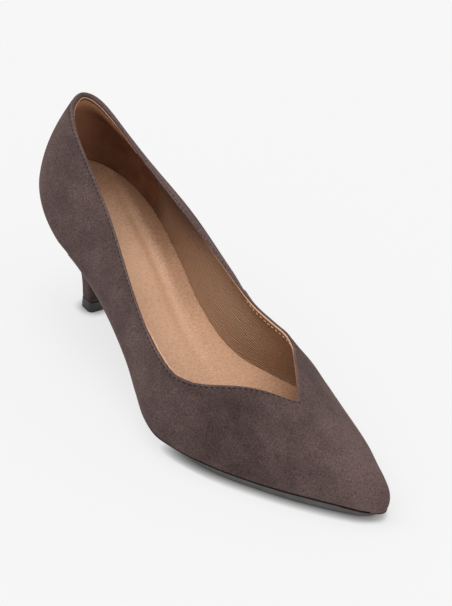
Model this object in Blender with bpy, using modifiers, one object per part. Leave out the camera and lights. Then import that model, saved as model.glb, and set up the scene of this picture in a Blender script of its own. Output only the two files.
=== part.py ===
import bpy
import bmesh
import numpy as np

# Right-foot pointed pump. Work is done in millimetres with the shoe's own axes:
# along = heel to toe, across = towards the big-toe side, height = up from the floor.
SHOE_LENGTH = 238.0
HEEL_REACH = 45.0
HEEL_FULLNESS = 2.2
TOE_REACH = 7.0
TOE_SWING = 24.0
SWING_START = 90.0
VAMP_FULLNESS = 2.3
NOSE_START = 224.0
WALL = 2.2
FEATHER_TUCK = 1.2
TUCK_HEIGHT = 7.0
BACK_BULGE = 0.9
SIDE_BULGE = 1.9
MEDIAL_CURL = 6.4
CURL_RISE = 2.4
SEAM_GAP = 0.3
INSOLE_THICKNESS = 2.4
INSOLE_INSET_LOW = 4.1
INSOLE_INSET_TOP = 3.5
SOLE_INSET = 1.4
SOLE_BEVEL = 0.8
BALL_BEVEL = 2.4
SOLE_TOE_INSET = 3.2
BREAST_ALONG = 52.0
HEEL_FOOT_BACK = 32.0
HEEL_FOOT_FRONT = 41.4
HEEL_FOOT_HALF_WIDTH = 5.2
HEEL_FOOT_ACROSS = -1.5
HEEL_FOOT_FULLNESS = 4.5
TOP_PIECE_HEIGHT = 6.0
RIBS_PER_SIDE = 44
WALL_STEPS = 16
PLATE_STATIONS = 58
PLATE_STRIPS = 6
HEEL_LEVELS = 14

# Shares of the way round one side where the heel end stops and the toe end begins.
HEEL_SHARE = 0.2
TOE_SHARE = 0.9

# along, lateral half width, medial half width of the bottom outline
OUTLINE = (
    (45, 31.8, 28.4),
    (60, 30.2, 26.6),
    (75, 29.4, 24.6),
    (100, 29.9, 22.8),
    (113, 32.3, 23.8),
    (125, 36.4, 27.0),
    (138, 41.3, 33.8),
    (150, 43.2, 39.4),
    (158, 41.6, 41.0),
    (170, 37.8, 39.2),
    (190, 29.6, 32.0),
    (210, 20.7, 22.6),
    (225, 12.4, 12.8),
    (231, 9.0, 9.2),
    (238, 5.6, 6.0),
)

# along, height of the edge where upper and sole meet, thickness of the outsole
BOTTOM = (
    (0, 66.4, 2.2),
    (22, 59.0, 2.2),
    (45, 50.9, 2.2),
    (60, 46.0, 2.2),
    (75, 40.0, 2.2),
    (100, 26.0, 2.3),
    (125, 14.2, 2.5),
    (138, 10.6, 2.7),
    (150, 8.2, 3.3),
    (163, 6.4, 5.0),
    (174, 5.3, 5.2),
    (188, 4.7, 4.6),
    (200, 4.9, 4.7),
    (212, 5.3, 4.8),
    (225, 5.3, 4.4),
    (238, 5.0, 3.8),
)

# along, height of the vamp ridge above the bottom edge
RIDGE = (
    (120, 59.4),
    (150, 46.9),
    (175, 34.9),
    (190, 29.8),
    (205, 24.4),
    (220, 19.3),
    (238, 12.9),
)

# share of the way round, lateral along, lateral across, medial along, medial across, height
# of the top line; across is counted from the swung centre line; the first row lies past the
# back seam, so that the line runs level there
TOPLINE = (
    (-0.05, 11.0, -6.0, 11.0, -5.5, 107.2),
    (0.00, 8.6, 0.0, 8.6, 0.0, 108.4),
    (0.05, 11.0, 6.0, 11.0, 5.5, 107.2),
    (0.10, 17.0, 10.6, 17.0, 9.2, 104.0),
    (0.15, 29.0, 14.2, 29.0, 11.8, 97.6),
    (0.20, 46.0, 16.7, 46.0, 13.0, 89.5),
    (0.25, 60.0, 18.7, 60.0, 14.7, 82.8),
    (0.30, 74.0, 21.0, 74.0, 17.4, 75.6),
    (0.35, 87.0, 23.6, 87.0, 20.8, 68.0),
    (0.40, 100.0, 26.4, 100.0, 24.0, 59.9),
    (0.45, 113.0, 29.2, 113.0, 26.5, 52.3),
    (0.50, 126.0, 32.0, 125.5, 28.4, 46.0),
    (0.55, 138.0, 34.3, 136.5, 30.7, 42.2),
    (0.60, 147.6, 35.5, 146.0, 31.3, 40.4),
    (0.65, 154.6, 33.2, 154.0, 27.8, 39.4),
    (0.70, 160.0, 28.8, 161.0, 21.8, 39.4),
    (0.75, 165.0, 22.9, 167.5, 16.5, 40.0),
    (0.80, 169.6, 16.6, 173.0, 11.7, 40.2),
    (0.85, 174.2, 10.8, 178.0, 7.4, 39.5),
    (0.90, 179.0, 6.2, 181.6, 4.3, 38.2),
    (0.95, 182.8, 2.9, 184.0, 2.0, 37.0),
    (1.00, 186.0, 0.0, 186.0, 0.0, 36.2),
)

LATERAL = -1
MEDIAL = 1


def smooth(table, column, at):
    # Cubic through the rows of a table, with slopes taken from the neighbouring rows.
    rows = np.array(table, dtype=float)
    knots = rows[:, 0]
    values = rows[:, column]
    slopes = np.gradient(values, knots)
    at = np.clip(np.asarray(at, dtype=float), knots[0], knots[-1])
    place = np.clip(np.searchsorted(knots, at, side="right") - 1, 0, len(knots) - 2)
    span = knots[place + 1] - knots[place]
    t = (at - knots[place]) / span
    start = (1 + 2 * t) * (1 - t) ** 2 * values[place]
    start_slope = t * (1 - t) ** 2 * span * slopes[place]
    end = t * t * (3 - 2 * t) * values[place + 1]
    end_slope = t * t * (t - 1) * span * slopes[place + 1]
    return start + start_slope + end + end_slope


def ease(low, high, at):
    t = np.clip((at - low) / (high - low), 0, 1)
    return t * t * (3 - 2 * t)


def spine(along):
    return TOE_SWING * np.clip((along - SWING_START) / (SHOE_LENGTH - SWING_START), 0, 1) ** 2


def half_width(side, along):
    # Outline half width, closed by an oval end at the heel and a round one at the toe.
    column = 1 if side == LATERAL else 2
    body = smooth(OUTLINE, column, along)
    heel = np.clip(1 - along / HEEL_REACH, 0, 1) ** HEEL_FULLNESS
    toe = np.clip((along - SHOE_LENGTH + TOE_REACH) / TOE_REACH, 0, 1) ** 2
    return body * (1 - heel) ** (1 / HEEL_FULLNESS) * np.sqrt(1 - toe)


def bottom_height(along):
    return smooth(BOTTOM, 1, along)


def ridge_height(along):
    nose = np.clip((along - NOSE_START) / (SHOE_LENGTH - NOSE_START), 0, 1)
    return smooth(RIDGE, 1, along) * np.sqrt(1 - nose ** 2.5)


def vamp_height(along, across):
    # Height of the last over a point of the plan: an oval arch across each section.
    offset = across - spine(along)
    lateral = np.maximum(half_width(LATERAL, along), 0.05)
    medial = np.maximum(half_width(MEDIAL, along), 0.05)
    reach = np.clip(np.abs(offset) / np.where(offset < 0, lateral, medial), 0, 1)
    arch = (1 - reach ** VAMP_FULLNESS) ** (1 / VAMP_FULLNESS)
    return bottom_height(along) + ridge_height(along) * arch


def outline_point(side, share):
    # Plan point of the bottom outline, for a share of the way from heel back to toe tip.
    share = np.asarray(share, dtype=float)
    heel_turn = np.clip(share / HEEL_SHARE, 0, 1) * np.pi / 2
    toe_turn = np.clip((share - TOE_SHARE) / (1 - TOE_SHARE), 0, 1) * np.pi / 2
    middle = np.clip((share - HEEL_SHARE) / (TOE_SHARE - HEEL_SHARE), 0, 1)
    heel_along = HEEL_REACH * (1 - np.abs(np.cos(heel_turn)) ** (2 / HEEL_FULLNESS))
    along = heel_along + middle * (SHOE_LENGTH - TOE_REACH - HEEL_REACH) + TOE_REACH * np.sin(toe_turn)
    along = np.clip(along, 0, SHOE_LENGTH)
    width = half_width(side, along)
    width = np.where(share >= 1, 0, width)
    return along, spine(along) + side * width


def outline_inward(side, share):
    # Unit direction in plan that points into the shoe from the outline.
    step = 0.004
    before = outline_point(side, np.clip(share - step, 0, 1))
    after = outline_point(side, np.clip(share + step, 0, 1))
    run = after[0] - before[0]
    rise = after[1] - before[1]
    # At the two ends the outline crosses the centre line square to it.
    run = np.where((share <= 0) | (share >= 1), 0.0, run)
    rise = np.where(share <= 0, side, np.where(share >= 1, -side, rise))
    length = np.hypot(run, rise)
    return side * rise / length, -side * run / length


def inset_outline(side, share, inset):
    along, across = outline_point(side, share)
    inward_along, inward_across = outline_inward(side, share)
    return along + inset * inward_along, across + inset * inward_across


def upper_side(side, share):
    # Ribs of one side: columns go round the shoe, rows go from bottom edge to top line.
    share = share[:, None]
    climb = np.linspace(0, 1, WALL_STEPS + 1)[None, :]
    foot_along, foot_across = outline_point(side, share)
    foot_height = bottom_height(foot_along)
    column = 1 if side == LATERAL else 3
    top_along = smooth(TOPLINE, column, share)
    top_across = spine(top_along) + side * smooth(TOPLINE, column + 1, share)
    top_height = smooth(TOPLINE, 5, share)

    # Quarters: the wall leans in as it climbs. Vamp: the rib runs over the last.
    over_vamp = ease(0.48, 0.66, share)
    lean_power = 2.0 - 0.6 * ease(0.0, 0.15, share)
    reach = (1 - over_vamp) * climb ** lean_power + over_vamp * climb ** 1.8
    along = foot_along + (top_along - foot_along) * reach
    across = foot_across + (top_across - foot_across) * reach
    wall_height = foot_height + (top_height - foot_height) * climb
    settle = (top_height - vamp_height(top_along, top_across)) * climb ** 2
    last_height = vamp_height(along, across) + settle
    height = (1 - over_vamp) * wall_height + over_vamp * last_height

    inward_along, inward_across = outline_inward(side, share)
    bulge = BACK_BULGE + (SIDE_BULGE - BACK_BULGE) * ease(0.0, 0.15, share)
    bulge = bulge * (1 - ease(0.4, 0.58, share)) * np.sin(np.pi * climb)
    if side == MEDIAL:
        # Over the hollow waist the wall swells high up and curls in to the top line.
        curl = MEDIAL_CURL * ease(0.1, 0.32, share) * (1 - ease(0.42, 0.62, share))
        bulge = bulge + curl * np.sin(np.pi * climb ** CURL_RISE)
    tuck = FEATHER_TUCK * np.clip(1 - (height - foot_height) / TUCK_HEIGHT, 0, 1) ** 2
    along = along + (tuck - bulge) * inward_along
    across = across + (tuck - bulge) * inward_across
    return np.stack(np.broadcast_arrays(along, across, height), axis=-1)


def upper_ring():
    share = np.linspace(0, 1, RIBS_PER_SIDE + 1)
    lateral = upper_side(LATERAL, share)
    medial = upper_side(MEDIAL, share[1:-1][::-1])
    return np.concatenate([lateral, medial])


def ring_faces(rows, columns):
    # Quads of a band that closes on itself; each row of vertices is one loop.
    faces = []
    for row in range(rows - 1):
        for column in range(columns):
            after = (column + 1) % columns
            low = row * columns
            high = low + columns
            faces.append((low + column, low + after, high + after, high + column))
    return faces


def plate(first_share, last_share, insets, toe_inset, heights):
    # Slab over the bottom outline: a lower and an upper sheet joined round the edge.
    share = np.linspace(first_share, last_share, PLATE_STATIONS + 1)
    strips = np.linspace(0, 1, PLATE_STRIPS + 1)[None, :]
    sheets = []
    for inset, height in zip(insets, heights):
        edge = inset(share) + toe_inset * ease(0.86, 1.0, share)
        left = inset_outline(LATERAL, share, edge)
        right = inset_outline(MEDIAL, share, edge)
        along = left[0][:, None] + (right[0] - left[0])[:, None] * strips
        across = left[1][:, None] + (right[1] - left[1])[:, None] * strips
        sheets.append(np.stack([along, across, height(along)], axis=-1).reshape(-1, 3))
    stations = PLATE_STATIONS + 1
    width = PLATE_STRIPS + 1
    size = stations * width
    faces = []
    for station in range(PLATE_STATIONS):
        for strip in range(PLATE_STRIPS):
            corner = station * width + strip
            quad = (corner, corner + width, corner + width + 1, corner + 1)
            faces.append(quad[::-1])
            faces.append(tuple(size + index for index in quad))
    border = [station * width for station in range(stations)]
    border += [(stations - 1) * width + strip for strip in range(1, width)]
    border += [station * width + width - 1 for station in range(stations - 2, -1, -1)]
    border += list(range(width - 2, 0, -1))
    for here, after in zip(border, border[1:] + border[:1]):
        faces.append((here, after, size + after, size + here))
    return np.concatenate(sheets), faces


def heel_foot_outline(turn):
    # Rounded square at the bottom of the heel; turn is counted from the back.
    middle = (HEEL_FOOT_BACK + HEEL_FOOT_FRONT) / 2
    half = (HEEL_FOOT_FRONT - HEEL_FOOT_BACK) / 2
    power = 2 / HEEL_FOOT_FULLNESS
    along = middle - half * np.sign(np.cos(turn)) * np.abs(np.cos(turn)) ** power
    reach = HEEL_FOOT_HALF_WIDTH * np.sign(np.sin(turn)) * np.abs(np.sin(turn)) ** power
    return along, HEEL_FOOT_ACROSS - reach


def heel_turns(side_points, breast_points):
    # Angles of the heel's loop: back to lateral corner, across the breast, medial corner to back.
    corner = np.radians(135)
    lateral = np.linspace(0, corner, side_points)
    breast = np.linspace(corner, 2 * np.pi - corner, breast_points + 2)[1:-1]
    medial = np.linspace(2 * np.pi - corner, 2 * np.pi, side_points)[:-1]
    return np.concatenate([lateral, breast, medial])


def heel_seat_loop(side_points, breast_points):
    breast_share = HEEL_SHARE + (TOE_SHARE - HEEL_SHARE) * (BREAST_ALONG - HEEL_REACH) / (
        SHOE_LENGTH - TOE_REACH - HEEL_REACH
    )
    share = np.linspace(0, breast_share, side_points)
    lateral = np.stack(inset_outline(LATERAL, share, SOLE_INSET), axis=-1)
    medial = np.stack(inset_outline(MEDIAL, share, SOLE_INSET), axis=-1)
    way = np.linspace(0, 1, breast_points + 2)[1:-1, None]
    breast = lateral[-1] + (medial[-1] - lateral[-1]) * way
    return np.concatenate([lateral, breast, medial[:0:-1]])


def loop_solid(loops, cap_loops):
    # Stacked loops of one point count, closed below by a flat face and above by shrinking loops.
    columns = loops.shape[1]
    stack = np.concatenate([loops, cap_loops])
    faces = ring_faces(len(stack), columns)
    faces.append(tuple(range(columns))[::-1])
    top = (len(stack) - 1) * columns
    faces.append(tuple(range(top, top + columns)))
    return stack.reshape(-1, 3), faces


def heel_shape():
    side_points = 13
    breast_points = 7
    seat = heel_seat_loop(side_points, breast_points)
    foot = np.stack(heel_foot_outline(heel_turns(side_points, breast_points)), axis=-1)
    foot_height = TOP_PIECE_HEIGHT + SEAM_GAP
    # Levels run from the foot up; the sides flare out towards the seat.
    level = np.linspace(0, 1, HEEL_LEVELS + 1)[:, None, None]
    flare = 0.12 * level + 0.88 * level ** 2.2
    plan = foot + (seat - foot) * flare
    seat_height = bottom_height(seat[:, 0]) - SEAM_GAP
    height = foot_height + (seat_height - foot_height) * level[:, :, 0]
    loops = np.concatenate([plan, height[:, :, None]], axis=-1)
    centre = seat.mean(axis=0)
    caps = []
    for shrink in (0.75, 0.5, 0.25, 0.05):
        inner = centre + (seat - centre) * shrink
        caps.append(np.column_stack([inner, bottom_height(inner[:, 0]) - SEAM_GAP]))
    return loop_solid(loops, np.array(caps))


def top_piece_shape():
    turn = np.linspace(0, 2 * np.pi, 40, endpoint=False)
    along, across = heel_foot_outline(turn)
    low = np.column_stack([along, across, np.zeros_like(along)])
    high = np.column_stack([along, across, np.full_like(along, TOP_PIECE_HEIGHT)])
    return loop_solid(np.array([low]), np.array([high]))


def tread_height(along):
    return np.maximum(bottom_height(along) - SEAM_GAP - smooth(BOTTOM, 2, along), 0)


def tread_inset(share):
    # The edge is cut under, most of all behind the ball.
    ball = ease(0.46, 0.58, share) * (1 - ease(0.64, 0.74, share))
    return SOLE_INSET + SOLE_BEVEL + BALL_BEVEL * ball


def make_material(name, colour, roughness):
    material = bpy.data.materials.new(name)
    material.use_nodes = True
    shader = material.node_tree.nodes["Principled BSDF"]
    shader.inputs["Base Color"].default_value = (*colour, 1)
    shader.inputs["Roughness"].default_value = roughness
    shader.inputs["Metallic"].default_value = 0
    return material


def add_part(name, points, faces, shift, material, collection, closed):
    # Shoe axes become world axes: toe towards -Y, big-toe side towards +X.
    points = np.asarray(points) - shift
    world = np.column_stack([points[:, 1], -points[:, 0], points[:, 2]]) * 0.001
    mesh = bpy.data.meshes.new(name)
    mesh.from_pydata(world.tolist(), [], faces)
    if closed:
        shell = bmesh.new()
        shell.from_mesh(mesh)
        bmesh.ops.recalc_face_normals(shell, faces=shell.faces)
        shell.to_mesh(mesh)
        shell.free()
    mesh.materials.append(material)
    part = bpy.data.objects.new(name, mesh)
    collection.objects.link(part)
    return part


for old in list(bpy.data.objects):
    bpy.data.objects.remove(old)

shoe = bpy.data.collections.new("stiletto_pump")
bpy.context.scene.collection.children.link(shoe)

suede = make_material("suede", (0.095, 0.066, 0.06), 0.95)
sole_rubber = make_material("sole_rubber", (0.02, 0.018, 0.017), 0.7)
top_piece_rubber = make_material("top_piece_rubber", (0.012, 0.012, 0.012), 0.55)
lining_leather = make_material("lining_leather", (0.5, 0.29, 0.18), 0.55)

upper_points = upper_ring()
middle_along = (upper_points[..., 0].min() + upper_points[..., 0].max()) / 2
middle_across = (upper_points[..., 1].min() + upper_points[..., 1].max()) / 2
centre_shift = np.array([middle_along, middle_across, 0])

columns_round = upper_points.shape[0]
upper_loops = upper_points.transpose(1, 0, 2).reshape(-1, 3)
upper_faces = ring_faces(WALL_STEPS + 1, columns_round)
upper = add_part("upper", upper_loops, upper_faces, centre_shift, suede, shoe, False)
wall = upper.modifiers.new("wall", "SOLIDIFY")
wall.thickness = WALL * 0.001
wall.offset = -1
wall.use_even_offset = True
wall.use_quality_normals = True

insole_points, insole_faces = plate(
    0.01,
    0.992,
    (lambda share: INSOLE_INSET_LOW, lambda share: INSOLE_INSET_TOP),
    0.0,
    (bottom_height, lambda along: bottom_height(along) + INSOLE_THICKNESS),
)
add_part("insole", insole_points, insole_faces, centre_shift, lining_leather, shoe, True)

sole_start = HEEL_SHARE + (TOE_SHARE - HEEL_SHARE) * (BREAST_ALONG + SEAM_GAP - HEEL_REACH) / (
    SHOE_LENGTH - TOE_REACH - HEEL_REACH
)
outsole_points, outsole_faces = plate(
    sole_start,
    0.965,
    (tread_inset, lambda share: SOLE_INSET),
    SOLE_TOE_INSET,
    (tread_height, lambda along: bottom_height(along) - SEAM_GAP),
)
add_part("outsole", outsole_points, outsole_faces, centre_shift, sole_rubber, shoe, True)

heel_points, heel_faces = heel_shape()
add_part("heel", heel_points, heel_faces, centre_shift, suede, shoe, True)

top_piece_points, top_piece_faces = top_piece_shape()
add_part("heel_tip", top_piece_points, top_piece_faces, centre_shift, top_piece_rubber, shoe, True)
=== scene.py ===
import bpy
import numpy as np
from mathutils import Matrix


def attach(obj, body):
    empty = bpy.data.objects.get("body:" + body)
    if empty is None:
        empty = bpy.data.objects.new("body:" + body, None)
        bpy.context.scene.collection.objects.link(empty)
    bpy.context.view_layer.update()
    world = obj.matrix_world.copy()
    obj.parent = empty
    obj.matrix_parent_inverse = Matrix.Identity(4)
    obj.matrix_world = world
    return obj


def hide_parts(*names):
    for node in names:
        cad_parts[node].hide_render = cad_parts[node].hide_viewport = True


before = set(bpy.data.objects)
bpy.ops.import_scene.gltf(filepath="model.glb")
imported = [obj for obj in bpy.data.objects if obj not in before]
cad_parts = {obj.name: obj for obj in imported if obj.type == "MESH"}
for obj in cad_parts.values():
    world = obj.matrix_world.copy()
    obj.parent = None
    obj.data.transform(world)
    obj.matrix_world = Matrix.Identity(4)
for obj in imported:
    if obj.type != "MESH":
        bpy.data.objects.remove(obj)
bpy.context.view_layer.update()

# Sizes are in millimetres on the shoe's own axes:
# along = heel to toe, across = towards the big toe, height = up from the floor.
lastForm = {
    "length": 238.0,
    "heelReach": 45.0,
    "heelFullness": 2.2,
    "toeReach": 7.0,
    "toeSwing": 24.0,
    "swingStart": 90.0,
    "vampFullness": 2.3,
    "noseStart": 224.0,
    "noseFullness": 2.5,
    "leastWidth": 0.05,                # keeps the arch of the vamp defined at the tip
    "featherTuck": 1.2,
    "tuckHeight": 7.0,
    "heelShare": 0.2,                  # share of one side's way round where the heel end stops
    "toeShare": 0.9,                   # and where the toe end begins
    "backShares": (0.0, 0.15),         # from the back seam to the quarters
    "vampShares": (0.48, 0.66),        # from the quarters to the vamp
    "backLean": 2.0,                   # powers of the climb, by which a rib leans in
    "leanLoss": 0.6,
    "vampLean": 1.8,
    "backBulge": 0.9,
    "sideBulge": 1.9,
    "bulgeShares": (0.4, 0.58),
    "medialCurl": 6.4,                 # the medial wall swells high up and curls in to its top line
    "curlRise": 2.4,
    "curlShares": (0.1, 0.32, 0.42, 0.62),
    "middle": (118.5523, 3.4984, 0.0),    # the shoe's place of the frame's origin
    # along, lateral half width, medial half width
    "outline": (
        (45, 31.8, 28.4), (60, 30.2, 26.6), (75, 29.4, 24.6), (100, 29.9, 22.8), (113, 32.3, 23.8),
        (125, 36.4, 27.0), (138, 41.3, 33.8), (150, 43.2, 39.4), (158, 41.6, 41.0), (170, 37.8, 39.2),
        (190, 29.6, 32.0), (210, 20.7, 22.6), (225, 12.4, 12.8), (231, 9.0, 9.2), (238, 5.6, 6.0),
    ),
    # along, height of the feather edge, sole thickness
    "bottom": (
        (0, 66.4, 2.2), (22, 59.0, 2.2), (45, 50.9, 2.2), (60, 46.0, 2.2), (75, 40.0, 2.2),
        (100, 26.0, 2.3), (125, 14.2, 2.5), (138, 10.6, 2.7), (150, 8.2, 3.3), (163, 6.4, 5.0),
        (174, 5.3, 5.2), (188, 4.7, 4.6), (200, 4.9, 4.7), (212, 5.3, 4.8), (225, 5.3, 4.4), (238, 5.0, 3.8),
    ),
    # along, height of the vamp ridge above the feather edge
    "ridge": (
        (120, 59.4), (150, 46.9), (175, 34.9), (190, 29.8), (205, 24.4), (220, 19.3), (238, 12.9),
    ),
    # share, lateral along and across, medial along and across, height;
    # the first row lies past the back seam, so that the line runs level there
    "topLine": (
        (-0.05, 11.0, -6.0, 11.0, -5.5, 107.2),
        (0.00, 8.6, 0.0, 8.6, 0.0, 108.4), (0.05, 11.0, 6.0, 11.0, 5.5, 107.2),
        (0.10, 17.0, 10.6, 17.0, 9.2, 104.0), (0.15, 29.0, 14.2, 29.0, 11.8, 97.6),
        (0.20, 46.0, 16.7, 46.0, 13.0, 89.5), (0.25, 60.0, 18.7, 60.0, 14.7, 82.8),
        (0.30, 74.0, 21.0, 74.0, 17.4, 75.6), (0.35, 87.0, 23.6, 87.0, 20.8, 68.0),
        (0.40, 100.0, 26.4, 100.0, 24.0, 59.9), (0.45, 113.0, 29.2, 113.0, 26.5, 52.3),
        (0.50, 126.0, 32.0, 125.5, 28.4, 46.0), (0.55, 138.0, 34.3, 136.5, 30.7, 42.2),
        (0.60, 147.6, 35.5, 146.0, 31.3, 40.4), (0.65, 154.6, 33.2, 154.0, 27.8, 39.4),
        (0.70, 160.0, 28.8, 161.0, 21.8, 39.4), (0.75, 165.0, 22.9, 167.5, 16.5, 40.0),
        (0.80, 169.6, 16.6, 173.0, 11.7, 40.2), (0.85, 174.2, 10.8, 178.0, 7.4, 39.5),
        (0.90, 179.0, 6.2, 181.6, 4.3, 38.2), (0.95, 182.8, 2.9, 184.0, 2.0, 37.0),
        (1.00, 186.0, 0.0, 186.0, 0.0, 36.2),
    ),
}


def tableCurve(name, column, at):
    # cubic through a table's rows, with slopes taken from the neighbouring rows
    rows = np.array(lastForm[name], dtype=float)
    knots, values = rows[:, 0], rows[:, column]
    slopes = np.gradient(values, knots)
    at = np.clip(np.asarray(at, dtype=float), knots[0], knots[-1])
    place = np.clip(np.searchsorted(knots, at, side="right") - 1, 0, len(knots) - 2)
    gap = knots[place + 1] - knots[place]
    t = (at - knots[place]) / gap
    low = (1 + 2 * t) * (1 - t) ** 2 * values[place] + t * (1 - t) ** 2 * gap * slopes[place]
    high = t * t * (3 - 2 * t) * values[place + 1] + t * t * (t - 1) * gap * slopes[place + 1]
    return low + high


def sideCurve(name, columns, side, at):
    # a table's lateral or medial column
    lateral, medial = [tableCurve(name, column, at) for column in columns]
    return np.where(side < 0, lateral, medial)


def brokenLine(rows, at, column=1):
    # straight lines through a table's rows
    rows = np.array(rows)
    return np.interp(at, rows[:, 0], rows[:, column])


def between(low, high, share):
    # low at 0, high at 1, and straight from one to the other
    return low + (high - low) * share


def ease(low, high, at):
    # 0 below low, 1 above high, a smooth S between them
    t = np.clip((at - low) / (high - low), 0, 1)
    return t * t * (3 - 2 * t)


def fade(low, high, at):
    # 1 below low, 0 above high
    return 1 - ease(low, high, at)


def span(low, full, past, end, at):
    # 0 below low, 1 from full to past, 0 above end
    return ease(low, full, at) * fade(past, end, at)


def hump(at, centre, width):
    # bell curve of height 1
    return np.exp(-((at - centre) / width) ** 2)


def swingAcross(along):
    # centre line: straight at the heel, swung towards the big toe by the square of the way forward
    start = lastForm["swingStart"]
    return lastForm["toeSwing"] * np.clip((along - start) / (lastForm["length"] - start), 0, 1) ** 2


def halfWidth(side, along):
    # table width, closed by an oval end at the heel and a round end at the toe
    body = sideCurve("outline", (1, 2), side, along)
    fullness, toeReach = lastForm["heelFullness"], lastForm["toeReach"]
    heel = np.clip(1 - along / lastForm["heelReach"], 0, 1) ** fullness
    toe = np.clip((along - lastForm["length"] + toeReach) / toeReach, 0, 1) ** 2
    return body * (1 - heel) ** (1 / fullness) * np.sqrt(1 - toe)


def bottomHeight(along):
    # height of the feather edge
    return tableCurve("bottom", 1, along)


def vampHeight(along, across):
    # an oval arch over each cross-section, with the ridge rounded down at the nose
    nose = np.clip((along - lastForm["noseStart"]) / (lastForm["length"] - lastForm["noseStart"]), 0, 1)
    ridge = tableCurve("ridge", 1, along) * np.sqrt(1 - nose ** lastForm["noseFullness"])
    offset = across - swingAcross(along)
    width = np.maximum(halfWidth(np.where(offset < 0, -1, 1), along), lastForm["leastWidth"])
    reach = np.clip(np.abs(offset) / width, 0, 1)
    fullness = lastForm["vampFullness"]
    return bottomHeight(along) + ridge * (1 - reach ** fullness) ** (1 / fullness)


def outlinePoint(side, share):
    # plan point of the feather edge: a quarter turn at the heel, a straight run, a quarter turn at the toe
    share = np.asarray(share, dtype=float)
    heelReach, toeReach = lastForm["heelReach"], lastForm["toeReach"]
    heelTurn = np.clip(share / lastForm["heelShare"], 0, 1) * np.pi / 2
    toeTurn = np.clip((share - lastForm["toeShare"]) / (1 - lastForm["toeShare"]), 0, 1) * np.pi / 2
    run = np.clip((share - lastForm["heelShare"]) / (lastForm["toeShare"] - lastForm["heelShare"]), 0, 1)
    along = heelReach * (1 - np.abs(np.cos(heelTurn)) ** (2 / lastForm["heelFullness"]))
    along = along + run * (lastForm["length"] - toeReach - heelReach) + toeReach * np.sin(toeTurn)
    along = np.clip(along, 0, lastForm["length"])
    width = np.where(share >= 1, 0, halfWidth(side, along))
    return along, swingAcross(along) + side * width


def outlineInward(side, share):
    # unit plan direction square to the outline, pointing into the shoe
    step = 0.004
    before = outlinePoint(side, np.clip(share - step, 0, 1))
    after = outlinePoint(side, np.clip(share + step, 0, 1))
    run = np.where((share <= 0) | (share >= 1), 0.0, after[0] - before[0])
    rise = np.where(share <= 0, side, np.where(share >= 1, -side, after[1] - before[1]))
    length = np.hypot(run, rise)
    return side * rise / length, -side * run / length


def insetOutline(side, share, inset):
    # point of the outline, moved square into the shoe
    along, across = outlinePoint(side, share)
    inAlong, inAcross = outlineInward(side, share)
    return along + inset * inAlong, across + inset * inAcross


def wallRib(side, share, climb):
    # outer face of the upper: climb 0 is the feather edge and 1 the top line;
    # quarters lean in as they climb, and vamp ribs run over the last
    footAlong, footAcross = outlinePoint(side, share)
    footHeight = bottomHeight(footAlong)
    topAlong = sideCurve("topLine", (1, 3), side, share)
    topReach = sideCurve("topLine", (2, 4), side, share)
    topAcross = swingAcross(topAlong) + side * topReach
    topHeight = tableCurve("topLine", 5, share)
    pastBack, overVamp = ease(*lastForm["backShares"], share), ease(*lastForm["vampShares"], share)
    leanPower = lastForm["backLean"] - lastForm["leanLoss"] * pastBack
    reach = (1 - overVamp) * climb ** leanPower + overVamp * climb ** lastForm["vampLean"]
    along = between(footAlong, topAlong, reach)
    across = between(footAcross, topAcross, reach)
    wallHeight = between(footHeight, topHeight, climb)
    settle = (topHeight - vampHeight(topAlong, topAcross)) * climb ** 2
    height = (1 - overVamp) * wallHeight + overVamp * (vampHeight(along, across) + settle)
    inAlong, inAcross = outlineInward(side, share)
    bulge = between(lastForm["backBulge"], lastForm["sideBulge"], pastBack)
    bulge = bulge * fade(*lastForm["bulgeShares"], share) * np.sin(np.pi * climb)
    curl = lastForm["medialCurl"] * span(*lastForm["curlShares"], share)
    bulge = bulge + curl * np.sin(np.pi * climb ** lastForm["curlRise"]) * (np.asarray(side) > 0)
    tuck = lastForm["featherTuck"] * np.clip(1 - (height - footHeight) / lastForm["tuckHeight"], 0, 1) ** 2
    along = along + (tuck - bulge) * inAlong
    across = across + (tuck - bulge) * inAcross
    return np.stack(np.broadcast_arrays(along, across, height), axis=-1)


def unit(vectors):
    # each vector divided by its length
    return vectors / np.maximum(np.linalg.norm(vectors, axis=-1, keepdims=True), 1e-9)


def gridFaces(rows, columns, closeRows=False, closeColumns=False):
    # quads of a grid of points laid out row by row, closed on itself where asked
    row = np.arange(rows if closeRows else rows - 1)[:, None]
    column = np.arange(columns if closeColumns else columns - 1)[None, :]
    nextRow, nextColumn = (row + 1) % rows, (column + 1) % columns
    corners = [row * columns + column, row * columns + nextColumn,
               nextRow * columns + nextColumn, nextRow * columns + column]
    return np.stack(corners, axis=-1).reshape(-1, 4)


def slabFaces(rows, columns):
    # two grids of the same size, the lower one first, joined round their border
    sheet = gridFaces(rows, columns)
    size = rows * columns
    index = np.arange(size).reshape(rows, columns)
    border = np.concatenate([index[:-1, 0], index[-1, :-1], index[:0:-1, -1], index[0, :0:-1]])
    after = np.roll(border, -1)
    sides = np.stack([border, size + border, size + after, after], axis=-1)
    return np.concatenate([sheet, sheet[:, ::-1] + size, sides[:, ::-1]])


def toWorld(points):
    # shoe axes to the frame: toe towards -Y, big-toe side towards +X, millimetres to metres
    points = np.asarray(points, dtype=float) - lastForm["middle"]
    return np.stack([points[..., 1], -points[..., 0], points[..., 2]], axis=-1).reshape(-1, 3) * 0.001


def addObject(name, data):
    # object at the origin, in the scene
    thing = bpy.data.objects.new(name, data)
    bpy.context.scene.collection.objects.link(thing)
    return thing


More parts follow.
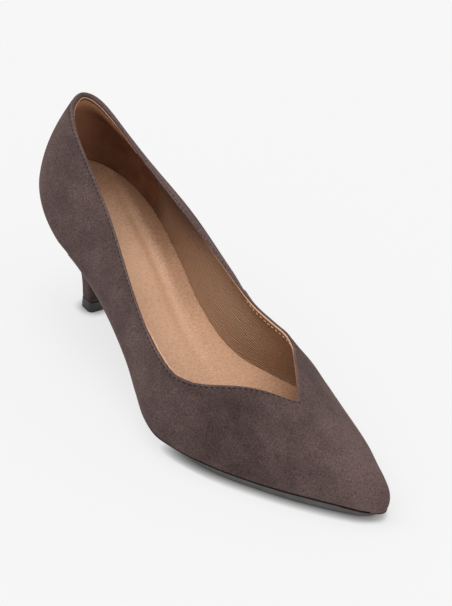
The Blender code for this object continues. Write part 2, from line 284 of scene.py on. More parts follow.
def addPiece(name, points, faces, materials, slot, replaced=None, faceMaterial=None, shade=None):
    # mesh from arrays; shade moves each point towards its material's light or dark colour
    mesh = bpy.data.meshes.new(name)
    mesh.from_pydata(toWorld(points).tolist(), [], faces)
    for material in materials:
        mesh.materials.append(material)
    mesh.polygons.foreach_set("use_smooth", np.ones(len(mesh.polygons), dtype=bool))
    if faceMaterial is not None:
        mesh.polygons.foreach_set("material_index", np.asarray(faceMaterial, dtype=np.int32))
    if shade is not None:
        layer = mesh.attributes.new("shade", "FLOAT", "POINT")
        layer.data.foreach_set("value", shade.ravel())
    mesh.update()
    mesh.validate()
    piece = addObject(name, mesh)
    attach(piece, "root")
    if replaced:
        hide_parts(replaced)
    print("piece", name, len(mesh.vertices), "points")


def addSlab(name, low, high, material, slot, replaced=None, shade=None):
    # two sheets of points of one size, joined round their border
    faces = slabFaces(*low.shape[:2]).tolist()
    shade = None if shade is None else np.stack([shade, shade])
    addPiece(name, np.stack([low, high]), faces, [material], slot, replaced, shade=shade)


# Materials

bandMm = 314.0       # bands of a wave texture at scale 1 lie this far apart along their axis
roughSwing = 0.08    # roughness wanders this far either way


def toLinear(hexColour):
    # sRGB hex to linear light
    channels = np.array([int(hexColour[i:i + 2], 16) for i in (1, 3, 5)]) / 255
    linear = np.where(channels <= 0.04045, channels / 12.92, ((channels + 0.055) / 1.055) ** 2.4)
    return (*linear.tolist(), 1.0)


def darkToLight(look):
    # the two colours of a Mix node, by socket
    return {6: toLinear(look["dark"]), 7: toLinear(look["light"])}


def addNode(tree, kind, settings=None, values=None, links=None, output=0):
    # one shader node: attributes, socket values and the outputs that feed it; gives the output asked for
    node = tree.nodes.new("ShaderNode" + kind)
    for key, value in (settings or {}).items():
        setattr(node, key, value)
    for key, value in (values or {}).items():
        node.inputs[key].default_value = value
    for key, source in (links or {}).items():
        tree.links.new(source, node.inputs[key])
    return node.outputs[output]


def newMaterial(name, values):
    # material with these values on its shader's own sockets
    material = bpy.data.materials.new(name)
    material.use_nodes = True
    tree = material.node_tree
    for key, value in values.items():
        tree.nodes["Principled BSDF"].inputs[key].default_value = value
    return material, tree


def feedShader(tree, links):
    # outputs that feed the shader, by socket
    for key, source in links.items():
        tree.links.new(source, tree.nodes["Principled BSDF"].inputs[key])


def shadedColour(tree, look, pattern, middle):
    # pattern spread about its middle from the dark to the light colour, and moved by the piece's shade
    tone = addNode(tree, "MapRange", values={"From Min": middle - look["spread"],
                   "From Max": middle + look["spread"]}, links={"Value": pattern})
    lie = addNode(tree, "Attribute", {"attribute_name": "shade"}, output="Fac")
    worn = addNode(tree, "Math", {"operation": "ADD", "use_clamp": True}, links={0: tone, 1: lie})
    return addNode(tree, "Mix", {"data_type": "RGBA"}, darkToLight(look), {0: worn}, 2)


def makeSuede(name, look):
    # napped split leather: soft brushed clouds some centimetres wide, short smears along the nap,
    # and fibre ends, drawn near 0.4 mm because the real 0.1 mm ones are too fine to show
    material, tree = newMaterial(name, {
        "Roughness": 0.95, "Specular IOR Level": 0.15, "Sheen Weight": look["sheen"],
        "Sheen Roughness": 0.5, "Sheen Tint": toLinear(look["sheenTint"])})
    place = addNode(tree, "TexCoord", output="Object")
    brushed = addNode(tree, "Mapping", values={"Scale": look["napScale"],
                      "Rotation": look["napTurn"]}, links={"Vector": place})
    cloud = addNode(tree, "TexNoise", values={"Scale": 1000 / look["cloudMm"], "Detail": 2.0,
                    "Roughness": 0.5, "Distortion": 0.3}, links={"Vector": place})
    smear = addNode(tree, "TexNoise", values={"Scale": 1000 / look["smearMm"], "Detail": 3.0,
                    "Roughness": 0.6}, links={"Vector": brushed})
    fibre = addNode(tree, "TexNoise", values={"Scale": 1000 / look["fibreMm"], "Detail": 2.0,
                    "Roughness": 0.6}, links={"Vector": brushed})
    broad = addNode(tree, "Math", {"operation": "MULTIPLY_ADD"}, {1: look["cloudShare"]},
                    {0: cloud, 2: smear})
    nap = shadedColour(tree, look, broad, 0.5 + 0.5 * look["cloudShare"])
    fleck = addNode(tree, "MapRange", values={"From Min": 0.3, "From Max": 0.7,
                    "To Min": 1 - look["root"], "To Max": 1 + look["tip"]}, links={"Value": fibre})
    flecked = addNode(tree, "VectorMath", {"operation": "SCALE"}, links={0: nap, "Scale": fleck})
    pile = addNode(tree, "Bump", values={"Strength": 0.3, "Distance": 0.0003},
                   links={"Height": fibre})
    feedShader(tree, {"Base Color": flecked, "Normal": pile})
    return material


def makeLeather(name, look):
    # finished kid leather: soft gloss, faint cloudiness, fine pebbled grain that may be drawn out
    # across the shoe, and fine wrinkles that run along it and rise a little towards the toe
    material, tree = newMaterial(name, {"Specular IOR Level": look["gloss"]})
    place = addNode(tree, "TexCoord", output="Object")
    cloud = addNode(tree, "TexNoise", values={"Scale": 1000 / look["cloudMm"], "Detail": 3.0},
                    links={"Vector": place})
    pulled = addNode(tree, "Mapping", {"vector_type": "TEXTURE"}, {
        "Scale": (1.0, look["stretch"], 1.0), "Rotation": (look["slant"], 0.0, 0.0)}, {"Vector": place})
    wrinkle = addNode(tree, "TexWave", {"bands_direction": "Z"}, {
        "Scale": bandMm / look["wrinkleMm"], "Distortion": look["wander"], "Detail": 2.0,
        "Detail Scale": 0.8}, {"Vector": pulled}, "Fac")
    gathered = addNode(tree, "Mapping", values={"Scale": (1 / look["creased"], 1.0, 1.0)},
                       links={"Vector": place})
    grit = addNode(tree, "TexNoise", values={"Scale": 1000 / look["grainMm"], "Detail": 2.0,
                   "Roughness": 0.7}, links={"Vector": gathered})
    # painted light and shade of the wrinkles: their bands move the colour by wrinkleTone
    blend = addNode(tree, "Math", {"operation": "MULTIPLY_ADD"}, {1: look["wrinkleTone"]},
                    {0: wrinkle, 2: cloud})
    speck = addNode(tree, "Math", {"operation": "MULTIPLY_ADD"}, {1: look["grainTone"]},
                    {0: grit, 2: blend})
    middle = 0.5 + 0.5 * look["wrinkleTone"] + 0.5 * look["grainTone"]
    colour = shadedColour(tree, look, speck, middle)
    grain = addNode(tree, "Bump", values={"Strength": look["grain"], "Distance": 0.0002},
                    links={"Height": grit})
    relief = addNode(tree, "Bump", values={"Strength": look["wrinkle"], "Distance": 0.0005},
                     links={"Height": wrinkle, "Normal": grain})
    rough = addNode(tree, "MapRange", values={"From Min": 0.2, "From Max": 0.8,
                    "To Min": look["rough"] - roughSwing, "To Max": look["rough"] + roughSwing},
                    links={"Value": cloud})
    feedShader(tree, {"Base Color": colour, "Roughness": rough, "Normal": relief})
    return material


def makeRubber(name, look):
    # moulded rubber: matt skin with a fine bloom of dust and a grainy surface
    material, tree = newMaterial(name, {"Specular IOR Level": look["gloss"]})
    place = addNode(tree, "TexCoord", output="Object")
    bloom = addNode(tree, "TexNoise", values={"Scale": 1000 / look["bloomMm"], "Detail": 4.0},
                    links={"Vector": place})
    grit = addNode(tree, "TexNoise", values={"Scale": 1000 / look["gritMm"], "Detail": 2.0},
                   links={"Vector": place})
    tone = addNode(tree, "MapRange", values={"From Min": 0.35, "From Max": 0.7},
                   links={"Value": bloom})
    colour = addNode(tree, "Mix", {"data_type": "RGBA"}, darkToLight(look), {0: tone}, 2)
    rough = addNode(tree, "MapRange", values={"To Min": look["rough"] - roughSwing,
                    "To Max": look["rough"] + roughSwing}, links={"Value": bloom})
    skin = addNode(tree, "Bump", values={"Strength": 0.2, "Distance": 0.0002},
                   links={"Height": grit})
    feedShader(tree, {"Base Color": colour, "Roughness": rough, "Normal": skin})
    return material


def makeThread(name, look):
    # twisted polyester sewing thread: plies cross each stitch at a slant, drawn 1.4 mm apart along
    # each axis because the real ones are too fine to show; diagonal bands lie twice bandMm apart there
    material, tree = newMaterial(name, {"Roughness": 0.6, "Specular IOR Level": 0.3})
    place = addNode(tree, "TexCoord", output="Object")
    ply = addNode(tree, "TexWave", {"bands_direction": "DIAGONAL"}, {
        "Scale": 2 * bandMm / look["plyMm"], "Distortion": 0.5}, {"Vector": place}, "Fac")
    colour = addNode(tree, "Mix", {"data_type": "RGBA"}, darkToLight(look), {0: ply}, 2)
    twist = addNode(tree, "Bump", values={"Strength": 0.3, "Distance": 0.0001},
                    links={"Height": ply})
    feedShader(tree, {"Base Color": colour, "Normal": twist})
    return material


suedeLook = {
    "dark": "#372b28", "light": "#665451", "root": 0.42, "tip": 0.62, "sheen": 0.14, "sheenTint": "#b79a94",
    "cloudMm": 30.0, "cloudShare": 1.5, "smearMm": 7.0, "fibreMm": 0.42, "spread": 0.64,
    "napScale": (1.0, 0.45, 0.7), "napTurn": (0.35, 0.0, 0.5),    # smears and fibres follow the brush
}
taupeSuede = makeSuede("taupeSuede", suedeLook)
# painted shadow: the turned-under edge at the sole is drawn near black, for the shade in its gap to the sole
featherShadowSuede = makeSuede("featherShadowSuede", {
    **suedeLook, "dark": "#130c0b", "light": "#1d1412", "sheen": 0.0})
# what the tan leathers have in common
leatherLook = {"grainMm": 0.6, "creased": 1.0, "grain": 0.2, "grainTone": 0.4, "wander": 6.0,
               "stretch": 3.0, "slant": 0.0, "rough": 0.5, "gloss": 0.35}
tanSockLeather = makeLeather("tanSockLeather", {
    **leatherLook, "dark": "#b08466", "light": "#f3c29e", "cloudMm": 34.0, "spread": 0.9,
    "grainMm": 0.75, "creased": 2.0, "grain": 0.6, "grainTone": 2.6,
    "wrinkleMm": 3.0, "wrinkle": 0.03, "wrinkleTone": 0.0})
tanLiningLeather = makeLeather("tanLiningLeather", {
    **leatherLook, "dark": "#573b2b", "light": "#b68d6e", "cloudMm": 30.0, "spread": 1.2, "grainTone": 0.5,
    "wrinkleMm": 0.85, "wrinkle": 0.5, "wrinkleTone": 2.2, "stretch": 2.2, "slant": 0.38})
cutLeatherEdge = makeLeather("cutLeatherEdge", {
    **leatherLook, "dark": "#cf9d7c", "light": "#e6b896", "cloudMm": 8.0, "spread": 0.3,
    "wrinkleMm": 1.0, "wrinkle": 0.1, "wrinkleTone": 0.3, "wander": 5.0, "rough": 0.75, "gloss": 0.2})
brushedGripLeather = makeLeather("brushedGripLeather", {
    **leatherLook, "dark": "#6c4530", "light": "#ad7d60", "cloudMm": 14.0, "spread": 0.5,
    "grainMm": 0.7, "grain": 0.25, "wrinkleMm": 2.5, "wrinkle": 0.05, "wrinkleTone": 0.0, "slant": 0.9,
    "rough": 0.85, "gloss": 0.12})
soleRubber = makeRubber("soleRubber", {
    "dark": "#595755", "light": "#6b6966", "bloomMm": 12.0, "gritMm": 0.8, "rough": 0.6, "gloss": 0.35})
topPieceRubber = makeRubber("topPieceRubber", {
    "dark": "#191818", "light": "#252424", "bloomMm": 5.0, "gritMm": 0.5, "rough": 0.45, "gloss": 0.5})
darkThread = makeThread("darkThread", {"dark": "#171211", "light": "#262020", "plyMm": 1.38})
creamThread = makeThread("creamThread", {"dark": "#ead2b4", "light": "#fff0dc", "plyMm": 1.38})
print("materials made")


# Upper: suede folded over at the top line and tucked in at the feather edge

upperForm = {
    "ribsPerSide": 240,
    "seamRibs": (0.455, 0.475, 17),    # extra ribs where the medial side seam stands
    "lowerRows": 40,
    "footCrowding": 1.2,               # rows lie closer together near the feather edge
    "collarRows": (7.0, 6.0, 5.1, 4.3, 3.6, 3.0, 2.6, 2.2, 1.9, 1.6, 1.3, 1.0, 0.8, 0.6),
    "rimSteps": 10,                    # steps round the folded edge
    "rimDepths": (4.0, 0.6),           # a lowered rim takes the wall along between these depths
    "keepEvery": 3,                    # the hidden face keeps one row in three
    "fold": 1.1,                       # two layers and their tape at the top line
    "backPad": 1.5,                    # more of it round the back of the heel
    "padShares": (0.05, 0.28),
    "padDepths": (3.0, 14.0),
    "backRoll": 0.4,                   # foam below the edge there, so that the lining rolls over it
    "rollShares": (0.12, 0.24),
    "rollDepths": (0.8, 6.0, 8.0, 34.0),
    "foldRise": 0.75,                  # half height of the rounded edge
    "backRise": 0.7,                   # more of it at the back of the heel
    "riseShares": (0.04, 0.16),
    "featherShadowShares": (0.5, 0.94),         # painted shadow: where the turned-under edge is drawn near black
    "edgeHighlight": 0.4,                     # painted highlight: the rolled edge is drawn paler, where it catches the light
    "edgeHighlightDepths": (1.7, 0.8),
    "crest": 0.6,                      # the medial collar curls in, and its nap catches the light
    "crestShares": (0.04, 0.12, 0.5, 0.62),
    "crestDepths": (9.0, 3.0),
    "stitchDrop": 1.3,                 # stitch row below the edge
    "stitchDent": 0.3,
    "stitchWidth": 0.45,
    "seamTop": 116.5,                  # along, at the top line and at the feather edge
    "seamFoot": 111.0,
    "seamStep": 0.6,                   # the quarter dips this far under the vamp
    "seamSlope": (-0.35, 0.35),
    "seamFade": 10.0,
    "creaseShares": (0.5, 0.62),       # the creases begin at the ball
}

# vamp creases: along, across, direction in degrees from the toe, length, width, depth
vampCreases = (
    (176.0, -22.0, 62.0, 26.0, 6.5, 0.3),
    (186.0, -9.0, 70.0, 22.0, 7.0, 0.25),
    (150.0, -38.0, 80.0, 18.0, 6.0, 0.25),
)

# patches painted lighter or darker, partly as painted light and shade and partly for the brushed nap: along,
# across, length, width, shift
lightAndNapPatches = (
    (168.0, -28.0, 52.0, 34.0, -0.12),
    (118.0, -30.0, 46.0, 20.0, 0.05),
    (216.0, 24.0, 34.0, 22.0, 0.35),
    (229.0, 17.0, 24.0, 18.0, 0.3),
    (186.0, 34.0, 40.0, 20.0, 0.15),
)


def wallGrid():
    # ribs all round the shoe, lateral side forward and medial side back; rows climb from the
    # feather edge, and the last ones keep fixed distances below the top line
    share = np.linspace(0, 1, upperForm["ribsPerSide"] + 1)
    share = np.unique(np.round(np.concatenate([share, np.linspace(*upperForm["seamRibs"])]), 6))
    side = np.concatenate([-np.ones(len(share)), np.ones(len(share) - 2)])[:, None]
    share = np.concatenate([share, share[1:-1][::-1]])[:, None]
    step = 0.02
    topSpan = np.linalg.norm(wallRib(side, share, 1.0) - wallRib(side, share, 1 - step), axis=-1) / step
    collar = 1 - np.array(upperForm["collarRows"])[None, :] / topSpan
    way = np.linspace(0, 1, upperForm["lowerRows"], endpoint=False) ** upperForm["footCrowding"]
    lower = way[None, :] * collar[:, :1]
    points = wallRib(side, share, np.concatenate([lower, collar], axis=1))
    ahead = np.roll(points, -1, axis=0) - np.roll(points, 1, axis=0)
    up = np.gradient(points, axis=1)
    steps = np.linalg.norm(np.diff(points, axis=1), axis=-1)
    drop = np.concatenate([np.cumsum(steps[:, ::-1], axis=1)[:, ::-1], np.zeros((len(share), 1))], axis=1)
    return {"side": side, "share": share, "points": points, "normals": unit(np.cross(ahead, up)),
            "drop": drop + upperForm["collarRows"][-1], "up": unit(up[:, -1])}


def creaseDepth(along, across):
    # sum of soft troughs: a bell across the crease and a bell along it
    total = np.zeros_like(along)
    for startAlong, startAcross, angle, length, width, depth in vampCreases:
        turn = np.radians(angle)
        lengthwise = (along - startAlong) * np.cos(turn) + (across - startAcross) * np.sin(turn)
        crosswise = (across - startAcross) * np.cos(turn) - (along - startAlong) * np.sin(turn)
        total = total + depth * hump(lengthwise, 0, length / 2) * hump(crosswise, 0, width / 2)
    return total


def lightAndNapShift(along, across):
    # sum of bells, one for each patch of painted light and shade with nap
    total = np.zeros_like(along)
    for middleAlong, middleAcross, length, width, shift in lightAndNapPatches:
        total = total + shift * hump(along, middleAlong, length / 2) * hump(across, middleAcross, width / 2)
    return total


def suedeRelief(wall):
    # how far the suede stands off the last, in millimetres along its normal:
    # the pulled-in stitch row, the quarter that dips under the vamp at the side seam, the creases
    along, across, drop = wall["points"][..., 0], wall["points"][..., 1], wall["drop"]
    dent = upperForm["stitchDent"] * hump(drop, upperForm["stitchDrop"], upperForm["stitchWidth"])
    low = np.clip(drop / drop[:, :1], 0, 1)
    seam = along - between(upperForm["seamTop"], upperForm["seamFoot"], low)
    dip = fade(*upperForm["seamSlope"], seam) * np.exp(-np.clip(-seam, 0, None) / upperForm["seamFade"])
    sideSeam = upperForm["seamStep"] * dip * (wall["side"] > 0)
    front = ease(*upperForm["creaseShares"], wall["share"])
    return -dent - sideSeam - front * creaseDepth(along, across)


def foldThick(share, drop):
    # suede and its stiffener, thicker near the top line round the back of the heel,
    # with a foam roll below it
    pad = upperForm["backPad"] * fade(*upperForm["padShares"], share) * fade(*upperForm["padDepths"], drop)
    roll = fade(*upperForm["rollShares"], share) * span(*upperForm["rollDepths"], drop)
    return upperForm["fold"] + pad + upperForm["backRoll"] * roll


def foldedShell(wall, outer, inner, rise, rimDrop, keepEvery):
    # closed shell: outer face up, rounded rim, inner face with fewer rows down to the feather edge;
    # rimDrop lowers the rim below the top line;
    # gives the points, how deep each lies below the top line, and the place and number of the rim's rows
    up = wall["up"][:, None]
    rows = np.union1d(np.arange(outer.shape[1])[::keepEvery], [outer.shape[1] - 1])
    lowered = -up * rimDrop[..., None] * ease(*upperForm["rimDepths"], wall["drop"])[..., None]
    outside, inside = outer + lowered, inner + lowered
    middle = (outside[:, -1:] + inside[:, -1:]) / 2
    half = (outside[:, -1:] - inside[:, -1:]) / 2
    bend = np.linspace(0, np.pi, upperForm["rimSteps"] + 1)[None, 1:-1, None]
    rim = middle + half * np.cos(bend) + up * rise * np.sin(bend)
    profile = np.concatenate([outside, rim, inside[:, rows][:, ::-1]], axis=1)
    depth = np.concatenate([wall["drop"], np.zeros(rim.shape[:2]), wall["drop"][:, rows][:, ::-1]], axis=1)
    return profile.transpose(1, 0, 2), depth.T, outside.shape[1], rim.shape[1]


wall = wallGrid()
medial, ringShare = wall["side"] > 0, wall["share"].ravel()
suedeFace = wall["points"] + wall["normals"] * suedeRelief(wall)[..., None]
wallThick = foldThick(wall["share"], wall["drop"])[..., None]
suedeBack = wall["points"] - wall["normals"] * wallThick
rimRise = upperForm["foldRise"] + upperForm["backRise"] * fade(*upperForm["riseShares"], wall["share"])
suedePoints, _, suedeRim, suedeRimRows = foldedShell(
    wall, suedeFace, suedeBack, rimRise[..., None], np.zeros_like(rimRise), upperForm["keepEvery"])
# painted light and shade: lighter and darker patches with some brushed nap, a painted highlight along the
# rolled edge, and painted light on the medial collar
suedeShade = lightAndNapShift(suedePoints[..., 0], suedePoints[..., 1])
edgeHighlight = upperForm["edgeHighlight"] * ease(*upperForm["edgeHighlightDepths"], wall["drop"])
crest = upperForm["crest"] * medial * span(*upperForm["crestShares"], wall["share"])
suedeShade[:suedeRim] += (edgeHighlight + crest * ease(*upperForm["crestDepths"], wall["drop"])).T
suedeShade[suedeRim:suedeRim + suedeRimRows] += upperForm["edgeHighlight"] + crest.T
# painted shadow: the first row of these ribs takes the near-black suede
featherShadowFrom, featherShadowTo = upperForm["featherShadowShares"]
featherShadowRibs = (ringShare > featherShadowFrom) & (ringShare < featherShadowTo)
firstRow = np.arange(len(suedePoints))[:, None] == 0
addPiece("suede_upper", suedePoints, gridFaces(*suedePoints.shape[:2], True, True).tolist(),
         [taupeSuede, featherShadowSuede], "suede", "upper", (firstRow & featherShadowRibs).ravel(), suedeShade)


# Lining: its cut edge hides below the suede at the quarters, and shows at the back of the heel,
# from the medial waist to the point of the throat, and at the lateral corner of the throat

liningForm = {
    "gap": 0.05, "thick": 0.65, "rise": 0.25, "keepEvery": 2,
    "rimThick": 0.35, "frontThick": 0.45, "rimDepths": (4.0, 1.0),    # skived where the edge hides
    "hidden": 0.6, "shown": -0.45,    # how far the edge lies below the top line
    # share of each side, and how much of the cut edge shows there
    "medialShown": ((0.37, 0.0), (0.4, 0.25), (0.46, 0.5), (0.52, 1.0),
                    (0.64, 1.0), (0.7, 0.5), (0.93, 0.6), (0.99, 0.0)),
    "lateralShown": ((0.46, 0.0), (0.5, 1.4), (0.66, 1.4), (0.76, 0.0)),
    "backShown": 0.45, "backShares": (0.06, 0.22), "leastShown": 0.03,
    # painted shade, darker deep in the heel, towards the toe and under the collar, where shadow falls, and
    # painted light, paler at the quarters
    "base": 0.24,
    "heelShade": 0.5, "heelShares": (0.2, 0.38),
    "toeShade": 1.15, "toeShares": (0.57, 0.73),
    "quarterShade": 0.42, "quarterShares": (0.2, 0.24, 0.36, 0.52),
    "collarShade": 1.0, "collarShares": (0.2, 0.24, 0.28, 0.44), "collarDepths": (12.0, 36.0),
}

liningOuter = wall["points"] - wall["normals"] * (wallThick + liningForm["gap"])
shown = np.where(medial, brokenLine(liningForm["medialShown"], wall["share"]),
                 brokenLine(liningForm["lateralShown"], wall["share"]))
shown = np.maximum(shown, liningForm["backShown"] * fade(*liningForm["backShares"], wall["share"]))
rimThick = liningForm["rimThick"] + liningForm["frontThick"] * shown
skived = ease(*liningForm["rimDepths"], wall["drop"])
liningThick = between(liningForm["thick"], rimThick, skived)
liningInner = liningOuter - wall["normals"] * liningThick[..., None]
liningDrop = between(liningForm["hidden"], liningForm["shown"], shown)
liningPoints, liningDepth, rimStart, rimRows = foldedShell(
    wall, liningOuter, liningInner, liningForm["rise"], liningDrop, liningForm["keepEvery"])
liningRow = np.arange(len(liningPoints))[:, None]
rimFaces = (liningRow >= rimStart - 1) & (liningRow < rimStart + rimRows)
bareRibs = (shown > liningForm["leastShown"]).ravel()
# painted light and shade on the lining
underCollar = span(*liningForm["collarShares"], ringShare) * fade(*liningForm["collarDepths"], liningDepth)
liningShade = (liningForm["base"]
               - liningForm["heelShade"] * fade(*liningForm["heelShares"], ringShare)
               - liningForm["toeShade"] * ease(*liningForm["toeShares"], ringShare)
               + liningForm["quarterShade"] * span(*liningForm["quarterShares"], ringShare)
               - liningForm["collarShade"] * underCollar)
addPiece("lining", liningPoints, gridFaces(*liningPoints.shape[:2], True, True).tolist(),
         [tanLiningLeather, cutLeatherEdge], "lining_leather",
         faceMaterial=(rimFaces & bareRibs).ravel(), shade=liningShade)


# Heel grip: brushed leather pad sewn over the lining round the back of the heel

gripForm = {
    "across": 90, "rows": 40, "thick": 0.4, "film": 0.06, "low": 0.025, "high": 0.955, "ribLength": 45.0,
    "lowShare": 0.192, "frontShare": 0.204, "fullAt": 0.75,    # the front edges bow out as they climb
    "sideSkive": 0.2, "edgeSkive": 0.05,                       # and all edges are skived
    # painted light and shade: paler round the back and along the rim, where the light falls, and darker at
    # the front
    "frontShade": -0.3, "backShade": 0.35, "backShares": (0.01, 0.1),
    "rimShade": 1.0, "rimClimb": (0.76, 0.92), "rimShares": (0.12, 0.2),
}

gripTurn = np.linspace(-1, 1, 2 * gripForm["across"] + 1)[None, :]
gripClimb = np.linspace(gripForm["low"], gripForm["high"], gripForm["rows"])[:, None]
bow = np.sin(np.pi / 2 * np.clip(gripClimb / gripForm["fullAt"], 0, 1))
gripShare = np.abs(gripTurn) * between(gripForm["lowShare"], gripForm["frontShare"], bow)
gripSide = np.where(gripTurn > 0, 1, -1) * np.ones_like(gripClimb)
gripWall = wallRib(gripSide, gripShare, gripClimb * np.ones_like(gripTurn))
gripNormal = unit(np.cross(np.gradient(gripWall, axis=1), np.gradient(gripWall, axis=0)))
gripNormal = gripNormal * np.sign((gripNormal[..., 1] * gripWall[..., 1]).mean())    # out of the shoe
gripInset = foldThick(gripShare, (1 - gripClimb) * gripForm["ribLength"])
gripInset = gripInset + liningForm["gap"] + liningForm["thick"]
fromRims = np.minimum(gripClimb - gripForm["low"], gripForm["high"] - gripClimb)
skive = np.minimum(ease(0, gripForm["sideSkive"], 1 - np.abs(gripTurn)),
                   ease(0, gripForm["edgeSkive"], fromRims))
gripOuter = gripWall - gripNormal * gripInset[..., None]
gripInner = gripOuter - gripNormal * (gripForm["film"] + gripForm["thick"] * skive)[..., None]
# painted light and shade on the grip
gripBack = fade(*gripForm["backShares"], gripShare)
gripRim = ease(*gripForm["rimClimb"], gripClimb) * fade(*gripForm["rimShares"], gripShare)
gripShade = between(gripForm["frontShade"], gripForm["backShade"], gripBack) + gripForm["rimShade"] * gripRim
addSlab("heel_grip", gripInner, gripOuter, brushedGripLeather, "lining_leather", shade=gripShade)


# Stitches: a dark row below the folded edge, and a cream row on the lining beside the medial throat

stitchForm = {
    "pitch": 2.5, "long": 1.75, "thick": 0.52, "flatness": 0.8, "bluntness": 0.04, "rings": 6, "sides": 8,
    "sink": 0.3, "edgeLift": 0.12, "liningLift": 0.5, "liningDrop": 2.2,
    "sewnShares": (0.48, 0.68),      # of the medial side, where the cream row runs
    "plainShares": (0.66, 0.985),    # and where the edge is folded without a row that shows
}


def capFaces(rows, columns):
    # flat caps on the first and last loop of a stack
    first = np.arange(columns)
    return np.stack([first[::-1], first + (rows - 1) * columns])


def stitchRow(line, normals, offset, lift, wanted):
    # equal steps along a closed line where stitches are wanted, the first one offset by a share of a step;
    # each is a spindle that sinks in at both ends
    closed = np.concatenate([line, line[:1]])
    way = np.concatenate([[0], np.cumsum(np.linalg.norm(np.diff(closed, axis=0), axis=-1))])
    count = int(way[-1] / stitchForm["pitch"])
    at = (np.arange(count) + offset) * way[-1] / count
    at = at[np.interp(at, way, np.append(wanted, wanted[0])) > 0.5]

    def sample(values):
        looped = np.concatenate([values, values[:1]])
        return np.stack([np.interp(at, way, column) for column in looped.T], axis=-1)

    centre, normal = sample(line), unit(sample(normals))
    ahead = unit(sample(np.roll(line, -1, axis=0)) - sample(np.roll(line, 1, axis=0)))
    acrossLine = unit(np.cross(normal, ahead))
    rings, sides = stitchForm["rings"], stitchForm["sides"]
    along = np.linspace(-1, 1, rings)[:, None]
    turn = np.linspace(0, 2 * np.pi, sides, endpoint=False)[None, :]
    radius = stitchForm["thick"] / 2 * np.sqrt(np.clip(1 + stitchForm["bluntness"] - along ** 4, 0, 1))
    height = lift - stitchForm["sink"] * along ** 2 + stitchForm["flatness"] * radius * np.sin(turn)
    points = (centre[:, None, None]
              + ahead[:, None, None] * (along * stitchForm["long"] / 2 * np.ones_like(turn))[None, ..., None]
              + acrossLine[:, None, None] * (radius * np.cos(turn))[None, ..., None]
              + normal[:, None, None] * height[None, ..., None])
    shift = (np.arange(len(at)) * rings * sides)[:, None, None]
    sleeves = (gridFaces(rings, sides, False, True)[None] + shift).reshape(-1, 4)
    ends = (capFaces(rings, sides)[None] + shift).reshape(-1, sides)
    return points, sleeves.tolist() + ends.tolist()


def collarRow(drop):
    # index, counted from the end, of the wall row that lies this far below the top line
    return upperForm["collarRows"].index(drop) - len(upperForm["collarRows"])


def medialBetween(low, high):
    # ribs of the medial side between two shares
    return medial.ravel() & (ringShare > low) & (ringShare < high)


edgeRow, innerRow = collarRow(upperForm["stitchDrop"]), collarRow(stitchForm["liningDrop"])
edgeThread = stitchRow(suedeFace[:, edgeRow], wall["normals"][:, edgeRow], 0.0, stitchForm["edgeLift"],
                       1.0 - medialBetween(*stitchForm["plainShares"]))
addPiece("edge_stitches", *edgeThread, [darkThread], "suede")
liningThread = stitchRow(liningInner[:, innerRow], -wall["normals"][:, innerRow], 0.5,
                         stitchForm["liningLift"], 1.0 * medialBetween(*stitchForm["sewnShares"]))
addPiece("lining_stitches", *liningThread, [creamThread], "lining_leather")


# Insole: tan sock over a thin foam, with a soft trough pressed along it

insoleForm = {
    "stations": 260, "strips": 72, "firstShare": 0.01, "lastShare": 0.992,
    "insetLow": 4.1, "insetTop": 2.35, "thick": 2.4, "edgeRound": 0.8, "edgeDrop": 0.4,
    # trough: along, offset from the swung centre line, depth
    "trough": ((10.0, 17.0, 0.0), (27.0, 15.2, 0.5), (46.0, 12.8, 1.1), (64.5, 10.2, 1.4),
               (83.5, 7.5, 1.4), (100.0, 5.9, 1.1), (120.5, 4.0, 0.5), (140.0, 3.0, 0.0)),
    "troughWidth": 2.8, "bankShare": 0.3, "bankOffset": 6.0, "bankWidth": 4.0,
    # painted light and shade: along, towards the light or dark colour; darker in the heel and under the
    # vamp, where shadow falls
    "shade": ((20.0, -0.2), (45.0, 0.05), (75.0, 0.45), (110.0, 0.4),
              (138.0, 0.05), (152.0, -0.35), (168.0, -1.2)),
    # the medial half lies in shade behind the ball
    "sideShade": 0.55, "sideReach": 7.0, "sideEnd": (65.0, 125.0),
}


def plateSheet(form, insetAt):
    # strips from the lateral to the medial edge at each station, closer together at the edges;
    # gives along, across, and the distances from the sides and from the ends
    share = np.linspace(form["firstShare"], form["lastShare"], form["stations"])[:, None]
    strip = (0.5 - 0.5 * np.cos(np.linspace(0, np.pi, form["strips"])))[None, :]
    left, right = insetOutline(-1, share, insetAt(share)), insetOutline(1, share, insetAt(share))
    along, across = between(left[0], right[0], strip), between(left[1], right[1], strip)
    width = np.hypot(right[0] - left[0], right[1] - left[1])
    fromEdge = np.minimum(strip, 1 - strip) * width
    fromEnd = np.minimum(along - along.min(), along.max() - along)
    return along, across, fromEdge, fromEnd


def roundedEdge(form, fromEdge):
    # quarter circle: 1 at the edge, 0 from edgeRound inwards
    edge = 1 - np.clip(fromEdge / form["edgeRound"], 0, 1)
    return 1 - np.sqrt(1 - edge ** 2)


def fromTrough(along, across):
    # distance to the medial side of the trough's bottom line
    return across - swingAcross(along) - brokenLine(insoleForm["trough"], along)


def insoleTop(along, across, fromEdge):
    # board height plus foam, rounded off at the edge, less the trough and its two soft banks
    beside = fromTrough(along, across)
    depth = brokenLine(insoleForm["trough"], along, 2)
    banks = hump(np.abs(beside), insoleForm["bankOffset"], insoleForm["bankWidth"])
    trough = depth * (hump(beside, 0, insoleForm["troughWidth"]) - insoleForm["bankShare"] * banks)
    rounded = insoleForm["edgeDrop"] * roundedEdge(insoleForm, fromEdge)
    return bottomHeight(along) + insoleForm["thick"] - rounded - trough


